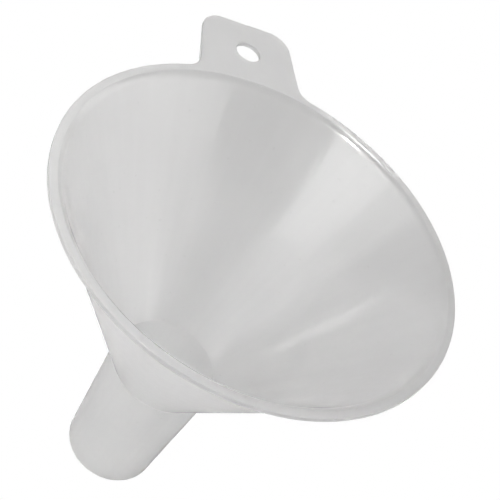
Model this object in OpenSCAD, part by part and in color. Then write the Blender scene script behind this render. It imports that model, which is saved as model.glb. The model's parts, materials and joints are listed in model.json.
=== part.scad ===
// Canning funnel: a wide conical bowl with a flat rim lip, a hang tab in the plane of the rim,
// and a slightly tapered spout. The real object is one moulding, and each node is one region
// of it. The regions meet face to face, with no overlap and no gap.
//
// Frame: +Z up along the funnel's axis, from the spout's open end to the rim's face.
// The origin is the centre of the spout's end face, and the hang tab points along +Y.

/* [Bowl] */
// Outer diameter of the rim
rim_d = 133; // [120:1:150]
// Height of the whole funnel, from the spout's end to the rim's face
total_h = 132.5; // [122:0.5:146]
// Wall thickness of the bowl and of the spout
wall = 1.5; // [1.2:0.1:2.2]
// Radius of the flare that opens the bowl's inner wall at the mouth
flare_r = 8; // [7:0.5:12]
// How far the flare takes the mouth's edge outwards
flare_out = 0.8; // [0.6:0.1:1.2]

/* [Rim lip] */
// Thickness of the flat lip and of the hang tab
lip_t = 1.6; // [1.2:0.1:2]
// How far the lip reaches past the bowl's outer wall
lip_reach = 1.7; // [1.2:0.1:4]
// Rounding of the lip's outer edges and of the spout's end
edge_r = 0.4; // [0.2:0.1:0.5]

/* [Spout] */
// Length of the spout below the bowl
spout_len = 54; // [30:0.5:74]
// Outer diameter of the spout where it leaves the bowl
spout_top_d = 38.6; // [32:0.2:46]
// Outer diameter of the spout at its open end
spout_end_d = 33.5; // [26:0.1:36]

/* [Hang tab] */
// How far the tab reaches past the rim
tab_reach = 27.6; // [20:0.2:34]
// Width along the tab's outer edge, measured between the corners as if they were sharp
tab_end_w = 32; // [26:0.2:38]
// Width of the tab where its straight sides would meet the rim
tab_root_w = 37; // [32:0.2:44]
// Radius of the tab's outer corners
tab_corner_r = 7.8; // [3:0.2:10]
// Radius of the hollow curves that run the tab's sides into the rim
tab_root_r = 6.8; // [2:0.2:9]
// Diameter of the hang hole
hole_d = 9; // [5:0.2:12]
// From the tab's outer edge to the centre of the hole
hole_inset = 15; // [12:0.1:17]

/* [Hidden] */
$fn = 180;
natural = [0.86, 0.87, 0.87];
arc_steps = 4;
cut_clear = 1;

// Levels of the rim's underside, and radii of the rim and of the seat cut for the tab
lip_z = total_h - lip_t;
rim_r = rim_d / 2;
tab_seat_r = rim_r - 2 * edge_r;

// Walls: how fast each radius grows with height, and each wall's thickness measured level
bowl_slope = (rim_r - lip_reach - spout_top_d / 2) / (total_h - spout_len);
spout_slope = (spout_top_d - spout_end_d) / 2 / spout_len;
bowl_wall_level = wall * sqrt(1 + pow(bowl_slope, 2));
spout_wall_level = wall * sqrt(1 + pow(spout_slope, 2));

function bowl_outer_r(z) = spout_top_d / 2 + bowl_slope * (z - spout_len);
function bowl_inner_r(z) = bowl_outer_r(z) - bowl_wall_level;
function spout_outer_r(z) = spout_end_d / 2 + spout_slope * z;
function spout_inner_r(z) = spout_outer_r(z) - spout_wall_level;

// The throat: the level at which the two inner walls cross
throat_z = spout_len + (bowl_wall_level - spout_wall_level) / (bowl_slope - spout_slope);

// The flare: an arc that leaves the bowl's inner wall smoothly and ends on the rim's face
bowl_angle = atan(bowl_slope);
up_wall = [sin(bowl_angle), cos(bowl_angle)];
into_wall = [cos(bowl_angle), -sin(bowl_angle)];
flare_depth = flare_out * cos(bowl_angle);
flare_run = sqrt(2 * flare_r * flare_depth - pow(flare_depth, 2));
flare_lift = flare_out * sin(bowl_angle) - flare_run;
flare = [bowl_inner_r(total_h), total_h] + flare_lift * up_wall + flare_r * into_wall;
flare_foot_angle = 180 - bowl_angle;

function flare_angle(z) = 180 - asin((z - flare.y) / flare_r);

// Tab outline, right-hand side: the straight side runs from the rim to the outer edge
tab_top_y = rim_r + tab_reach;
hole_y = tab_top_y - hole_inset;
side_foot = [tab_root_w / 2, rim_r];
side_end = [tab_end_w / 2, tab_top_y];
side_dir = (side_end - side_foot) / norm(side_end - side_foot);
side_out = [side_dir.y, -side_dir.x];
// Centre of the rounded corner: its circle touches the side and the outer edge
corner_line = side_foot - tab_corner_r * side_out;
corner = corner_line + side_dir * (tab_top_y - tab_corner_r - corner_line.y) / side_dir.y;
// Centre of the hollow root curve: its circle touches the side and the rim
root_line = side_foot + tab_root_r * side_out;
root_back = root_line * side_dir;
root_along = sqrt(pow(root_back, 2) - root_line * root_line + pow(rim_r + tab_root_r, 2));
root = root_line + side_dir * (root_along - root_back);
tab_side = [
    root,
    root - tab_root_r * side_out,
    corner + tab_corner_r * side_out,
    corner + [0, tab_corner_r],
];

// Points along an arc about a centre, from angle a to angle b
function arc(centre, r, a, b) = [
    for (i = [0 : arc_steps])
        let (t = a + (b - a) * i / arc_steps)
            centre + r * [cos(t), sin(t)]
];

// The tab seen from above: it ends at the seat cut into the lip
module tab_footprint() {
    difference() {
        union() {
            polygon(concat([[0, 0]], tab_side, [for (i = [3 : -1 : 0]) [-tab_side[i].x, tab_side[i].y]]));
            for (side = [-1, 1])
                translate([side * corner.x, corner.y])
                    circle(tab_corner_r);
        }
        for (side = [-1, 1])
            translate([side * root.x, root.y])
                circle(tab_root_r);
        circle(tab_seat_r);
    }
}

// Conical wall between the throat and the underside of the lip
module cone() {
    color(natural)
        rotate_extrude()
            polygon(concat(
                [[spout_outer_r(spout_len), spout_len], [bowl_outer_r(lip_z), lip_z]],
                arc(flare, flare_r, flare_angle(lip_z), flare_foot_angle),
                [[bowl_inner_r(throat_z), throat_z], [spout_inner_r(spout_len), spout_len]]
            ));
}

// Flat lip around the mouth: its inner edge is the top of the flare
module rim_lip() {
    color(natural)
        difference() {
            rotate_extrude()
                polygon(concat(
                    arc(flare, flare_r, flare_angle(total_h), flare_angle(lip_z)),
                    arc([rim_r - edge_r, lip_z + edge_r], edge_r, -90, 0),
                    arc([rim_r - edge_r, total_h - edge_r], edge_r, 0, 90)
                ));
            translate([0, 0, lip_z - cut_clear])
                linear_extrude(lip_t + 2 * cut_clear)
                    tab_footprint();
        }
}

// Flat tab with a hang hole, level with the lip on both faces
module hang_tab() {
    color(natural)
        difference() {
            translate([0, 0, lip_z])
                linear_extrude(lip_t)
                    tab_footprint();
            translate([0, hole_y, lip_z - cut_clear])
                cylinder(d = hole_d, h = lip_t + 2 * cut_clear);
        }
}

// Tapered tube that goes into the jar, narrowing slightly towards its open end
module spout() {
    color(natural)
        rotate_extrude()
            polygon(concat(
                [[spout_outer_r(spout_len), spout_len], [spout_inner_r(spout_len), spout_len]],
                arc([spout_inner_r(edge_r) + edge_r, edge_r], edge_r, 180, 270),
                arc([spout_outer_r(edge_r) - edge_r, edge_r], edge_r, 270, 360)
            ));
}

cone();
rim_lip();
hang_tab();
spout();
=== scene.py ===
import json
from math import acos, atan2, ceil, cos, pi, radians, sin, sqrt, tan

import bmesh
import bpy
from mathutils import Matrix, Vector


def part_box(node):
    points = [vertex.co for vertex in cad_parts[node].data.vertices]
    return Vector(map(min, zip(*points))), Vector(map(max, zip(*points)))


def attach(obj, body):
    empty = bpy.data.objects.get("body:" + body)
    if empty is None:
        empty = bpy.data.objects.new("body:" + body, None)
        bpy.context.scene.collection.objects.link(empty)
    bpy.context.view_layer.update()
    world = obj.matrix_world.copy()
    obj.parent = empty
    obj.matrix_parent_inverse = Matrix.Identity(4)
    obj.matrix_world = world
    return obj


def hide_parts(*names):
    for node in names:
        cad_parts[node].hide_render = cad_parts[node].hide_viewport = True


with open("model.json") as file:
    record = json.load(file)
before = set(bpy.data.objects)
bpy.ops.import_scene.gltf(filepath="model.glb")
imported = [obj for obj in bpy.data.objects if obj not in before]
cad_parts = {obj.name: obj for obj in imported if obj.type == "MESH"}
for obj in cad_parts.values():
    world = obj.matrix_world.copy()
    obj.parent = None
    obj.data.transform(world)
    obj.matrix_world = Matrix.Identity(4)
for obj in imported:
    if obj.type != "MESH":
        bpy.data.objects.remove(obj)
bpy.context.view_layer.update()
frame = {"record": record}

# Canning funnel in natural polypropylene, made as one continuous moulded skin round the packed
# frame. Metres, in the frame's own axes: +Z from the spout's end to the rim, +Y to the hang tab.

# Sizes taken from the frame
RIM_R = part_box("rim_lip")[1].x
RIM_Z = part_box("rim_lip")[1].z
LIP_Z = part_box("rim_lip")[0].z
BOWL_TOP_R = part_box("cone")[1].x
SPOUT_TOP_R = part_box("spout")[1].x
SPOUT_TOP_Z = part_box("spout")[1].z
TAB_END_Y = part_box("hang_tab")[1].y
HANG_HOLE = next(m for m in frame["record"]["mounts"] if m["name"] == "hang_hole")
HOLE_Y = HANG_HOLE["pos_m"][1]
HOLE_R = HANG_HOLE["dims"]["r_mm"] / 1000

# Sizes that the frame's boxes don't hold, as in the CAD model
WALL = 0.0015
FLARE_R = 0.008
FLARE_OUT = 0.0008
SPOUT_END_R = 0.01675
TAB_END_HALF = 0.016
TAB_ROOT_HALF = 0.0185
TAB_CORNER_R = 0.0078
TAB_ROOT_R = 0.0068

# Moulded roundings
LIP_EDGE_R = 0.00025
MOUTH_EDGE_R = 0.0004
HOLE_EDGE_R = 0.00025
UNDER_LIP_R = 0.0009
THROAT_OUT_R = 0.0024
THROAT_IN_R = 0.0008
SPOUT_EDGE_R = 0.0004

# Width of the lip's underside that is meshed in rings, past the rounding
UNDER_LIP_RING = 0.0013

# Mesh density: divisions round the axis and the hole, and the longest steps along arcs and lines
COLUMNS = 384
HOLE_COLUMNS = 72
ARC_STEP = radians(11)
EDGE_STEPS = 5
WALL_STEP = 0.0035
OUTLINE_STEP = 0.002

# Polypropylene
PLASTIC_IOR = 1.49
COAT_IOR = 1.6
COAT_ROUGHNESS = 0.12
CLEAR_MILK = (0.958, 0.9535, 0.949)
DENSE_MILK = (0.808, 0.802, 0.795)
RIPPLE_DEPTH = 0.00004
GRAIN_DEPTH = 0.000008

# Camera: direction, roll, distance and focal length, and the point it faces
VIEW_AZIMUTH = -29.40
VIEW_ELEVATION = 42.10
VIEW_ROLL = 35.36
VIEW_DISTANCE = 0.32677
VIEW_LENS = 78.99
AIM = Vector((-0.0021, -0.0058, RIM_Z - 0.0068))

# Studio: the point that the lights face, how far off they stand, and the floor
MIDDLE = Vector((0, 0, 0.07))
LIGHT_DISTANCE = 0.9
FLOOR_HALF = 6
FLOOR_GAP = 0.0002


# ---------------------------------------------------------------- camera and studio

def make_camera():
    azimuth, elevation = radians(VIEW_AZIMUTH), radians(VIEW_ELEVATION)
    back = Vector((sin(azimuth) * cos(elevation), -cos(azimuth) * cos(elevation), sin(elevation)))
    level_right = Vector((cos(azimuth), sin(azimuth), 0))
    right = Matrix.Rotation(radians(VIEW_ROLL), 3, back) @ level_right
    up = back.cross(right)
    data = bpy.data.cameras.new("view")
    data.lens = VIEW_LENS
    data.clip_start = 0.01
    data.clip_end = 20
    camera = bpy.data.objects.new("view", data)
    turn = Matrix((right, up, back)).transposed()
    camera.matrix_world = Matrix.Translation(AIM + back * VIEW_DISTANCE) @ turn.to_4x4()
    bpy.context.scene.collection.objects.link(camera)
    bpy.context.scene.camera = camera


def aim_from(azimuth, elevation, distance):
    """A point round the middle of the funnel. Azimuth 0 is beyond the tab, and 90 is towards +X."""
    azimuth, elevation = radians(azimuth), radians(elevation)
    ray = Vector((sin(azimuth) * cos(elevation), cos(azimuth) * cos(elevation), sin(elevation)))
    return MIDDLE + distance * ray


def area_light(name, azimuth, elevation, width, height, power):
    """A soft panel that faces the middle of the funnel. Angles are in degrees."""
    data = bpy.data.lights.new(name, "AREA")
    data.shape = "RECTANGLE"
    data.size, data.size_y = width, height
    data.energy = power
    light = bpy.data.objects.new(name, data)
    light.location = aim_from(azimuth, elevation, LIGHT_DISTANCE)
    light.rotation_euler = (MIDDLE - light.location).to_track_quat("-Z", "Y").to_euler()
    bpy.context.scene.collection.objects.link(light)


def make_studio():
    """One small bright panel for the highlights, and wide ones that the bowl mirrors softly."""
    area_light("key", -136, 48.5, 0.04, 0.12, 4.9)
    area_light("front", -125, 33, 0.56, 0.56, 1.35)
    area_light("front_wide", -112, 33, 0.90, 0.56, 1.4)
    area_light("right", 82, 15, 0.75, 0.50, 1.45)
    area_light("right_front", 126, 15, 0.68, 0.50, 1.3)
    area_light("back", 8, 45, 0.80, 0.50, 1.25)
    area_light("top", -110, 75, 0.20, 0.20, 1.5)
    area_light("left_low", -95, 8, 0.40, 0.25, 2.4)
    scene = bpy.context.scene
    scene.world = white_world()
    scene.view_settings.view_transform = "Standard"
    scene.cycles.use_denoising = True


def white_world():
    """White to the camera, dark to everything else: the lights do the lighting."""
    world = bpy.data.worlds.new("studio")
    world.use_nodes = True
    tree = world.node_tree
    path = tree.nodes.new("ShaderNodeLightPath")
    tree.nodes["Background"].inputs["Color"].default_value = (1, 1, 1, 1)
    tree.links.new(path.outputs["Is Camera Ray"], tree.nodes["Background"].inputs["Strength"])
    return world


def make_floor():
    bm = bmesh.new()
    bmesh.ops.create_grid(bm, x_segments=8, y_segments=8, size=FLOOR_HALF)
    mesh = bpy.data.meshes.new("floor")
    bm.to_mesh(mesh)
    bm.free()
    floor = bpy.data.objects.new("floor", mesh)
    floor.location.z = -FLOOR_GAP
    mesh.materials.append(floor_material())
    bpy.context.scene.collection.objects.link(floor)


def floor_material():
    """Matt white that the camera sees as fully lit paper."""
    material = bpy.data.materials.new("floor")
    material.use_nodes = True
    tree = material.node_tree
    shader = tree.nodes["Principled BSDF"]
    shader.inputs["Base Color"].default_value = (0.9, 0.9, 0.9, 1)
    shader.inputs["Roughness"].default_value = 1.0
    path = tree.nodes.new("ShaderNodeLightPath")
    paper = tree.nodes.new("ShaderNodeEmission")
    mix = tree.nodes.new("ShaderNodeMixShader")
    tree.links.new(path.outputs["Is Camera Ray"], mix.inputs[0])
    tree.links.new(shader.outputs[0], mix.inputs[1])
    tree.links.new(paper.outputs[0], mix.inputs[2])
    tree.links.new(mix.outputs[0], tree.nodes["Material Output"].inputs["Surface"])
    return material


# ---------------------------------------------------------------- outlines

def arc(centre, radius, start, end, hollow=False):
    """Points and outward normals along an arc in a plane. A hollow arc's normals point inward."""
    steps = max(2, ceil(abs(end - start) / ARC_STEP))
    angles = [start + (end - start) * i / steps for i in range(steps + 1)]
    rays = [Vector((cos(a), sin(a))) for a in angles]
    return [(centre + radius * ray, -ray if hollow else ray) for ray in rays]


def rounded_path(corners):
    """Points and normals of an open path with rounded corners. The solid is on its right-hand side.

    corners holds (point, radius)."""
    path = []
    for i, (corner, radius) in enumerate(corners):
        before = (corner - corners[i - 1][0]).normalized() if i > 0 else None
        after = (corners[i + 1][0] - corner).normalized() if i + 1 < len(corners) else None
        run = before or after
        left = Vector((-run.y, run.x))
        if before is None or after is None:
            path.append((corner, left))
            continue
        turn = atan2(before.x * after.y - before.y * after.x, before.dot(after))
        side = 1 if turn > 0 else -1
        centre = corner - before * radius * tan(abs(turn) / 2) + left * side * radius
        start = atan2(-left.y * side, -left.x * side)
        path += arc(centre, radius, start, start + turn, hollow=side > 0)
    return path


def with_steps(path, step):
    """The same path with straight stretches cut into steps no longer than step."""
    full = [path[0]]
    for (a, na), (b, nb) in zip(path, path[1:]):
        parts = max(1, ceil((b - a).length / step)) if (na - nb).length < 1e-4 else 1
        for k in range(1, parts):
            full.append((a.lerp(b, k / parts), na))
        full.append((b, nb))
    return full


def bowl_inside_r(z):
    return bowl_outside_r(z) - WALL * sqrt(1 + bowl_slope() ** 2)


def bowl_outside_r(z):
    return SPOUT_TOP_R + bowl_slope() * (z - SPOUT_TOP_Z)


def bowl_slope():
    return (BOWL_TOP_R - SPOUT_TOP_R) / (LIP_Z - SPOUT_TOP_Z)


def spout_slope():
    return (SPOUT_TOP_R - SPOUT_END_R) / SPOUT_TOP_Z


def flare_corner():
    """Where the bowl's inner wall would meet the line that touches the flare's top."""
    steepness = atan2(1, bowl_slope())
    up_wall = Vector((cos(steepness), sin(steepness)))
    depth = FLARE_OUT * sin(steepness)
    turn = acos(1 - depth / FLARE_R)
    rise = FLARE_OUT * cos(steepness) - FLARE_R * (sin(turn) - tan(turn / 2))
    return Vector((bowl_inside_r(RIM_Z), RIM_Z)) + rise * up_wall


def funnel_section():
    """Half section from the underside of the lip, down the outside, and up the inside to the rim."""
    spout_wall = WALL * sqrt(1 + spout_slope() ** 2)
    bowl_wall = WALL * sqrt(1 + bowl_slope() ** 2)
    throat_z = SPOUT_TOP_Z + (bowl_wall - spout_wall) / (bowl_slope() - spout_slope())
    corners = [
        ((BOWL_TOP_R + UNDER_LIP_RING, LIP_Z), 0),
        ((BOWL_TOP_R, LIP_Z), UNDER_LIP_R),
        ((SPOUT_TOP_R, SPOUT_TOP_Z), THROAT_OUT_R),
        ((SPOUT_END_R, 0), SPOUT_EDGE_R),
        ((SPOUT_END_R - spout_wall, 0), SPOUT_EDGE_R),
        ((bowl_inside_r(throat_z), throat_z), THROAT_IN_R),
        (flare_corner(), FLARE_R - 2 * MOUTH_EDGE_R),
        ((bowl_inside_r(RIM_Z) + FLARE_OUT, RIM_Z), MOUTH_EDGE_R),
        ((bowl_inside_r(RIM_Z) + FLARE_OUT + MOUTH_EDGE_R, RIM_Z), 0),
    ]
    return with_steps(rounded_path([(Vector(point), radius) for point, radius in corners]), WALL_STEP)


def tab_curves():
    """Centres of the tab's corner and root curves on its +X side, and that side's outward normal."""
    foot, end = Vector((TAB_ROOT_HALF, RIM_R)), Vector((TAB_END_HALF, TAB_END_Y))
    along = (end - foot).normalized()
    out = Vector((along.y, -along.x))
    line = foot - TAB_CORNER_R * out
    corner = line + along * (TAB_END_Y - TAB_CORNER_R - line.y) / along.y
    line = foot + TAB_ROOT_R * out
    back = line.dot(along)
    root = line + along * (sqrt(back ** 2 - line.dot(line) + (RIM_R + TAB_ROOT_R) ** 2) - back)
    return corner, root, out


def rim_outline():
    """Plan outline of the lip and the tab, counterclockwise, as points and outward normals."""
    corner, root, out = tab_curves()
    out_angle, root_angle = atan2(out.y, out.x), atan2(root.y, root.x)
    side = [(root - TAB_ROOT_R * out, out), (corner + TAB_CORNER_R * out, out)]
    half = arc(root, TAB_ROOT_R, root_angle + pi, out_angle + pi, hollow=True)[:-1]
    half += with_steps(side, OUTLINE_STEP)
    half += arc(corner, TAB_CORNER_R, out_angle, pi / 2)[1:]
    mirror = [(Vector((-p.x, p.y)), Vector((-n.x, n.y))) for p, n in reversed(half)]
    top = with_steps([half[-1], mirror[0]], OUTLINE_STEP)[1:-1]
    return half + top + mirror + round_rim(pi - root_angle, pi + 2 * root_angle)


def round_rim(start, sweep):
    """The outline's round part, without its two end points."""
    steps = round(COLUMNS * sweep / (2 * pi))
    rays = [start + sweep * i / steps for i in range(1, steps)]
    return [(RIM_R * Vector((cos(a), sin(a))), Vector((cos(a), sin(a)))) for a in rays]


def circle_outline(centre, radius, count, hollow=False):
    rays = [Vector((cos(2 * pi * i / count), sin(2 * pi * i / count))) for i in range(count)]
    return [(centre + radius * ray, -ray if hollow else ray) for ray in rays]


# ---------------------------------------------------------------- the moulded skin

class Skin:
    """Collects rings of vertices with exact normals, and the faces between them."""

    def __init__(self):
        self.bm = bmesh.new()
        self.normals = []

    def ring(self, points):
        verts = []
        for position, normal in points:
            verts.append(self.bm.verts.new(position))
            self.normals.append(normal)
        return verts

    def bridge(self, a, b):
        count = len(a)
        for i in range(count):
            j = (i + 1) % count
            self.bm.faces.new((a[i], a[j], b[j], b[i]))

    def fill(self, *rings):
        edges = []
        for ring in rings:
            for a, b in zip(ring, ring[1:] + ring[:1]):
                edges.append(self.bm.edges.get((a, b)) or self.bm.edges.new((a, b)))
        made = bmesh.ops.triangle_fill(self.bm, use_beauty=True, edges=edges)
        faces = [f for f in made["geom"] if isinstance(f, bmesh.types.BMFace)]
        inner = list({e for f in faces for e in f.edges if all(g in faces for g in e.link_faces)})
        bmesh.ops.beautify_fill(self.bm, faces=faces, edges=inner)

    def revolve(self, section):
        rings = []
        for (r, z), (nr, nz) in section:
            rays = [(cos(2 * pi * i / COLUMNS), sin(2 * pi * i / COLUMNS)) for i in range(COLUMNS)]
            rings.append(self.ring([(Vector((r * x, r * y, z)), Vector((nr * x, nr * y, nz)))
                                    for x, y in rays]))
        for a, b in zip(rings, rings[1:]):
            self.bridge(a, b)
        return rings[0], rings[-1]

    def rounded_wall(self, outline, radius):
        """The wall under an outline, with both of its edges rounded. Returns top and bottom rings."""
        rings = []
        for centre_z, start, end in ((RIM_Z - radius, pi / 2, 0), (LIP_Z + radius, 0, -pi / 2)):
            for i in range(EDGE_STEPS + 1):
                a = start + (end - start) * i / EDGE_STEPS
                inset, lift = radius * (1 - cos(a)), Vector((0, 0, sin(a)))
                height = Vector((0, 0, centre_z)) + radius * lift
                rings.append(self.ring([((p - n * inset).to_3d() + height, (n * cos(a)).to_3d() + lift)
                                        for p, n in outline]))
        for a, b in zip(rings, rings[1:]):
            self.bridge(a, b)
        return rings[0], rings[-1]

    def finish(self, name):
        bmesh.ops.recalc_face_normals(self.bm, faces=self.bm.faces)
        for face in self.bm.faces:
            face.smooth = True
        mesh = bpy.data.meshes.new(name)
        self.bm.to_mesh(mesh)
        self.bm.free()
        mesh.normals_split_custom_set_from_vertices([n.normalized() for n in self.normals])
        piece = bpy.data.objects.new(name, mesh)
        bpy.context.scene.collection.objects.link(piece)
        return piece


def make_funnel():
    skin = Skin()
    under_ring, mouth_ring = skin.revolve(funnel_section())
    top, bottom = skin.rounded_wall(rim_outline(), LIP_EDGE_R)
    hole = circle_outline(Vector((0, HOLE_Y)), HOLE_R, HOLE_COLUMNS, hollow=True)
    hole_top, hole_bottom = skin.rounded_wall(hole, HOLE_EDGE_R)
    skin.fill(top, hole_top, mouth_ring)
    skin.fill(bottom, hole_bottom, under_ring)
    funnel = skin.finish("funnel")
    funnel.data.materials.append(polypropylene())
    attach(funnel, "root")
    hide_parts("cone", "rim_lip", "hang_tab", "spout")


# ---------------------------------------------------------------- material

class Nodes:
    """A material's node tree, built by short calls."""

    def __init__(self, name):
        self.material = bpy.data.materials.new(name)
        self.material.use_nodes = True
        self.tree = self.material.node_tree
        self.shader = self.tree.nodes["Principled BSDF"]
        self.place = self.add("ShaderNodeTexCoord").outputs["Object"]

    def add(self, kind, **values):
        node = self.tree.nodes.new(kind)
        for name, value in values.items():
            if hasattr(node, name):
                setattr(node, name, value)
            else:
                node.inputs[name.replace("_", " ").title()].default_value = value
        return node

    def link(self, output, target):
        self.tree.links.new(output, target)

    def vector(self, operation, source, by=None):
        node = self.add("ShaderNodeVectorMath", operation=operation)
        self.link(source, node.inputs[0])
        if by is not None:
            node.inputs[1].default_value = by
        return node.outputs[0]

    def round_the_axis(self, across, along):
        """Coordinates that change with the angle round Z, and slowly along the wall."""
        flat = self.vector("NORMALIZE", self.vector("MULTIPLY", self.place, (1, 1, 0)))
        tall = self.vector("MULTIPLY", self.place, (0, 0, along))
        node = self.add("ShaderNodeVectorMath", operation="ADD")
        self.link(self.vector("MULTIPLY", flat, (across, across, 0)), node.inputs[0])
        self.link(tall, node.inputs[1])
        return node.outputs[0]

    def noise(self, scale, detail, source=None):
        node = self.add("ShaderNodeTexNoise", scale=scale, detail=detail)
        self.link(source or self.place, node.inputs["Vector"])
        return node.outputs["Fac"]

    def spread(self, value, low, high, to_low=0.0, to_high=1.0):
        """Map a value from one range to another, held inside the second."""
        node = self.add("ShaderNodeMapRange", interpolation_type="SMOOTHSTEP")
        for socket, number in zip(node.inputs[1:5], (low, high, to_low, to_high)):
            socket.default_value = number
        self.link(value, node.inputs[0])
        return node.outputs[0]

    def math(self, operation, a, b):
        node = self.add("ShaderNodeMath", operation=operation)
        for socket, value in zip(node.inputs, (a, b)):
            if isinstance(value, (int, float)):
                socket.default_value = value
            else:
                self.link(value, socket)
        return node.outputs[0]

    def blend(self, factor, a, b):
        """Mix two colours."""
        node = self.add("ShaderNodeMix", data_type="RGBA")
        self.link(factor, node.inputs[0])
        node.inputs[6].default_value = (*a, 1)
        node.inputs[7].default_value = (*b, 1)
        return node.outputs[2]

    def bump(self, height, distance, below=None):
        node = self.add("ShaderNodeBump", distance=distance)
        self.link(height, node.inputs["Height"])
        if below:
            self.link(below, node.inputs["Normal"])
        return node.outputs["Normal"]


def milkiness(nodes, clouds):
    """Base colour: faint clouds and flow lines in the milk, with a few darker specks."""
    flow = nodes.noise(1, detail=2, source=nodes.round_the_axis(14, 25))
    milk = nodes.spread(nodes.math("ADD", clouds, flow), 0.75, 1.25)
    specks = nodes.spread(nodes.noise(700, detail=0), 0.80, 0.86, 0, 0.5)
    shade = nodes.math("MAXIMUM", nodes.math("MULTIPLY", milk, 0.15), specks)
    return nodes.blend(shade, CLEAR_MILK, DENSE_MILK)


def polypropylene():
    """Natural polypropylene: milky all through, with a moulded gloss on its skin."""
    nodes = Nodes("natural_polypropylene")
    sockets = nodes.shader.inputs
    sockets["IOR"].default_value = PLASTIC_IOR
    sockets["Transmission Weight"].default_value = 1.0
    sockets["Coat Roughness"].default_value = COAT_ROUGHNESS
    sockets["Coat IOR"].default_value = COAT_IOR
    clouds = nodes.noise(28, detail=4)
    grain = nodes.noise(420, detail=2)
    nodes.link(milkiness(nodes, clouds), sockets["Base Color"])
    roughness = nodes.spread(nodes.math("ADD", clouds, grain), 0.7, 1.3, 0.70, 0.80)
    nodes.link(roughness, sockets["Roughness"])
    facing = nodes.add("ShaderNodeLayerWeight").outputs["Facing"]
    nodes.link(nodes.spread(facing, 0.50, 0.95, 1.0, 0.1), sockets["Coat Weight"])
    ripples = nodes.bump(nodes.noise(60, detail=1), RIPPLE_DEPTH)
    skin = nodes.bump(grain, GRAIN_DEPTH, below=ripples)
    nodes.link(skin, sockets["Normal"])
    nodes.link(skin, sockets["Coat Normal"])
    return nodes.material


make_camera()
make_studio()
make_floor()
make_funnel()
